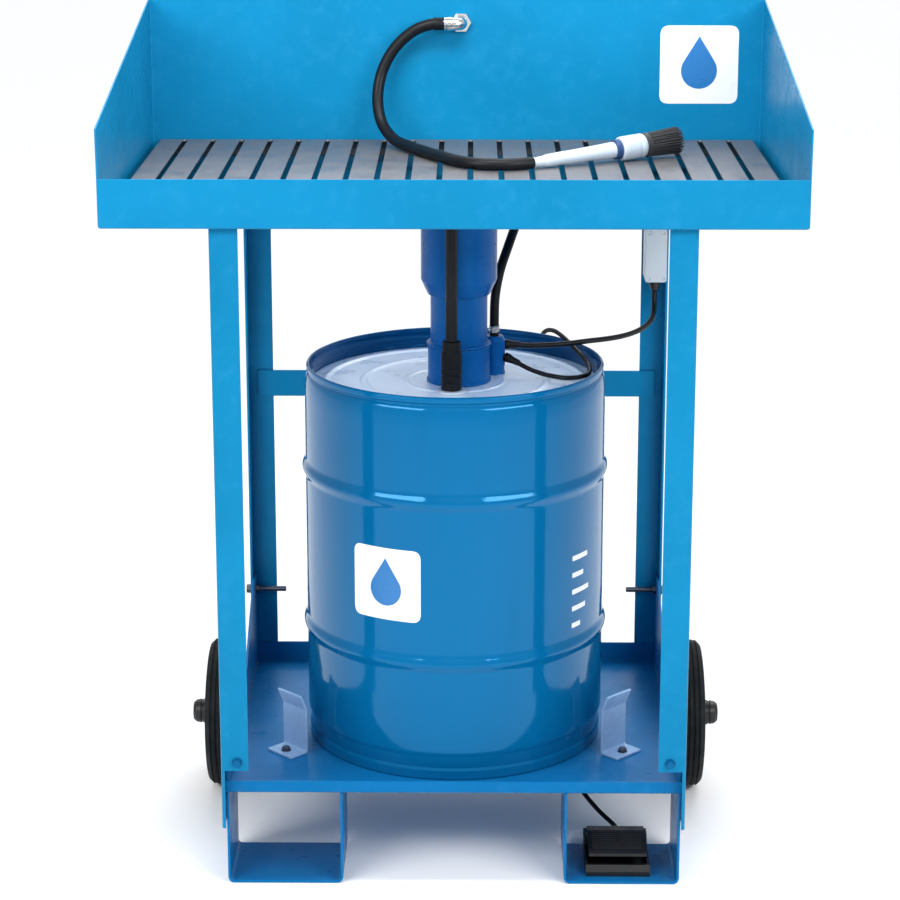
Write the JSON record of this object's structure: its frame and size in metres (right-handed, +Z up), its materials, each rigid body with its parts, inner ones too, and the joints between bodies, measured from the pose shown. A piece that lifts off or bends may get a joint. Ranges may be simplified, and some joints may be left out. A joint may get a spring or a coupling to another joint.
{
  "type": "parts washer",
  "caption": "Mobile parts washing table: sheet-steel tray with a slotted grate over a solvent drum, with a wash brush, a pump and a foot switch.",
  "frame": {"origin": "on the floor, under the middle of the washer's footprint", "axes": "+X to the operator's right, +Y to the back wall, +Z up"},
  "size_m": [0.818, 0.544, 1.045],
  "materials": {
    "blue_paint": "glossy powder coat",
    "column_paint": "satin paint",
    "drum_paint": "glossy enamel",
    "lid_paint": "satin pale enamel",
    "grate_steel": "satin steel plate",
    "zinc": "zinc plated",
    "bright_metal": "polished fitting",
    "tyre_rubber": "matt solid rubber",
    "hose_rubber": "smooth black rubber",
    "black_plastic": "moulded plastic",
    "grey_plastic": "moulded plastic",
    "white_plastic": "glossy plastic",
    "navy_plastic": "glossy plastic",
    "bristle": "packed nylon bristles"
  },
  "bodies": {
    "root": {"wash_tray": "blue_paint", "front_leg_right": "blue_paint", "front_leg_left": "blue_paint", "rear_leg_right": "blue_paint", "rear_leg_left": "blue_paint", "tray_rail_right": "blue_paint", "tray_rail_left": "blue_paint", "rear_crossbar": "blue_paint", "base_pan": "blue_paint", "side_plate_right": "blue_paint", "side_plate_left": "blue_paint", "front_foot_right": "blue_paint", "front_foot_left": "blue_paint", "guide_bracket_right": "blue_paint", "guide_bracket_left": "blue_paint", "drain_sleeve": "column_paint", "lid_collar": "column_paint", "pump_column": "column_paint", "drum_shell": "drum_paint", "drum_base": "drum_paint", "drum_lid": "lid_paint", "grate": "grate_steel", "front_leg_bolt_right": "zinc", "front_leg_bolt_left": "zinc", "rear_leg_bolt_right": "zinc", "rear_leg_bolt_left": "zinc", "guide_bolt_right": "zinc", "guide_bolt_left": "zinc", "axle": "zinc", "pump_strainer": "zinc", "pedal_pin": "zinc", "bulkhead_elbow": "bright_metal", "bulkhead_nut": "bright_metal", "wash_hose": "hose_rubber", "supply_hose": "hose_rubber", "pump_cable": "hose_rubber", "pedal_cable": "hose_rubber", "pan_grommet": "hose_rubber", "riser_tube": "hose_rubber", "riser_coupling": "hose_rubber", "pedal_gland": "hose_rubber", "pump_body": "black_plastic", "power_box_gland": "black_plastic", "pedal_base": "black_plastic", "power_box": "grey_plastic", "power_box_cover": "grey_plastic", "riser_ring": "white_plastic"},
    "wheel_right": {"wheel_rim_right": "black_plastic", "tyre_right": "tyre_rubber", "hub_cap_right": "black_plastic"},
    "wheel_left": {"wheel_rim_left": "black_plastic", "tyre_left": "tyre_rubber", "hub_cap_left": "black_plastic"},
    "treadle": {"pedal_treadle": "black_plastic", "pedal_spring": "zinc"},
    "drain": {"drain_tube": "column_paint"},
    "brush": {"brush_handle": "white_plastic", "brush_ring": "navy_plastic", "brush_collar": "white_plastic", "brush_head": "bristle"}
  },
  "joints": [
    {"name": "wheel_right_spin", "type": "hinge", "parent": "root", "child": "wheel_right", "pos_m": [0.312, 0.093, 0.098], "axis": [1, 0, 0], "continuous": true},
    {"name": "wheel_left_spin", "type": "hinge", "parent": "root", "child": "wheel_left", "pos_m": [-0.312, 0.093, 0.098], "axis": [1, 0, 0], "continuous": true},
    {"name": "pedal_press", "type": "hinge", "parent": "root", "child": "treadle", "pos_m": [0.205, -0.14, 0.025], "axis": [1, 0, 0], "range_deg": [0, 8], "stiffness_Nm_per_rad": 1.2, "springref_deg": -14.32},
    {"name": "drain_tube_lift", "type": "slide", "parent": "root", "child": "drain", "axis": [0, 0, 1], "range_m": [0, 0.05]},
    {"name": "brush_lift", "type": "slide", "parent": "root", "child": "brush", "axis": [0, 0, 1], "range_m": [0, 0.12]}
  ]
}
